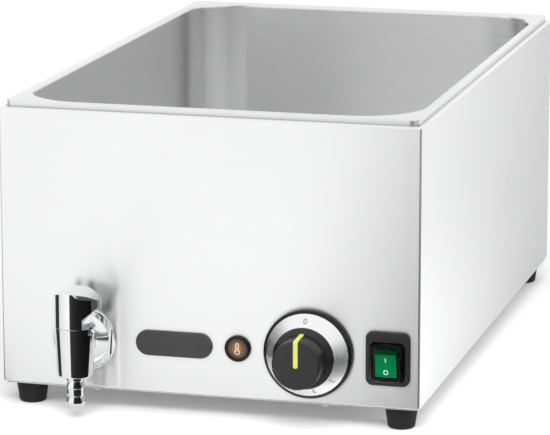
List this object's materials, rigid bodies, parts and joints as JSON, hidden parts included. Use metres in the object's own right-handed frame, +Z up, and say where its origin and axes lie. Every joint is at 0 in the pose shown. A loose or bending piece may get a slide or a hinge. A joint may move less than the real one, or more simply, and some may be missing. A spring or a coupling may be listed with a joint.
{
  "type": "bain marie",
  "caption": "Countertop electric bain marie: a stainless water bath in a folded steel casing on feet, with a drain tap, thermostat knob, pilot lamp and covered rocker switch.",
  "frame": {"origin": "on the counter, under the middle of the appliance's overall box", "axes": "+Z up, front panel faces -Y, +X to the right seen from the front"},
  "size_m": [0.34, 0.6008, 0.2463],
  "materials": {
    "casing_steel": "satin stainless sheet, grain across the front",
    "tank_steel": "drawn stainless sheet, satin",
    "chrome": "polished chrome plate",
    "zinc_steel": "zinc-plated steel",
    "element_sheath": "heat-darkened steel sheath",
    "brass": "turned brass and drawn copper alloy",
    "foot_rubber": "matt black moulded rubber",
    "seal_rubber": "soft black seal",
    "black_plastic": "black moulded plastic",
    "gloss_black": "glossy black bezel",
    "knob_plastic": "dark grey moulded knob",
    "pointer_yellow": "yellow-green inlay",
    "scale_aluminium": "round-brushed aluminium",
    "lens_amber": "amber lens",
    "rocker_green": "translucent green rocker",
    "boot_clear": "clear smoky splash boot",
    "plate_grey": "bare dark grey plate",
    "white_insulator": "white moulded insulator"
  },
  "bodies": {
    "housing": {"casing": "casing_steel", "rear_panel": "casing_steel", "base_plate": "casing_steel", "tank": "tank_steel", "tap_body": "chrome", "tap_nozzle": "chrome", "tap_rosette": "chrome", "foot_screws": "zinc_steel", "foot_nuts": "zinc_steel", "base_screws": "zinc_steel", "rear_screws": "zinc_steel", "tap_locknut": "zinc_steel", "drain_elbow": "zinc_steel", "thermostat_screws": "zinc_steel", "clamp_studs": "zinc_steel", "clamp_nuts": "zinc_steel", "cutout_nut": "zinc_steel", "terminal_screws": "zinc_steel", "earth_stud": "zinc_steel", "sensor_clip": "zinc_steel", "heater_clamp_front": "zinc_steel", "heater_clamp_rear": "zinc_steel", "heating_element": "element_sheath", "drain_coupling": "brass", "earth_nuts": "brass", "sensor_bulb": "brass", "sensor_capillary": "brass", "foot_front_left": "foot_rubber", "foot_front_right": "foot_rubber", "foot_rear_left": "foot_rubber", "foot_rear_right": "foot_rubber", "gland_seal": "seal_rubber", "dial_bezel": "black_plastic", "switch_frame": "black_plastic", "switch_body": "black_plastic", "lamp_nut": "black_plastic", "gland_body": "black_plastic", "gland_cap": "black_plastic", "gland_locknut": "black_plastic", "lamp_holder": "gloss_black", "dial_scale": "scale_aluminium", "lamp_lens": "lens_amber", "switch_boot": "boot_clear", "name_plate": "plate_grey", "thermostat_body": "white_insulator", "safety_cutout": "white_insulator", "terminal_block": "white_insulator"},
    "tap_lever": {"tap_handle": "chrome", "tap_plug": "brass", "tap_seals": "seal_rubber"},
    "control_knob": {"knob": "knob_plastic", "knob_pointer": "pointer_yellow", "thermostat_shaft": "zinc_steel"},
    "rocker": {"switch_rocker": "rocker_green"}
  },
  "joints": [
    {"name": "knob_turn", "type": "hinge", "parent": "housing", "child": "control_knob", "pos_m": [0.0815, -0.25862, 0.0588], "axis": [0, 1, 0], "range_deg": [0, 270]},
    {"name": "rocker_tilt", "type": "hinge", "parent": "housing", "child": "rocker", "pos_m": [0.1447, -0.26112, 0.0563], "axis": [-1, 0, 0], "range_deg": [0, 24]},
    {"name": "tap_turn", "type": "hinge", "parent": "housing", "child": "tap_lever", "pos_m": [-0.1008, -0.28413, 0.0588], "axis": [0, 0, -1], "range_deg": [0, 90]}
  ]
}
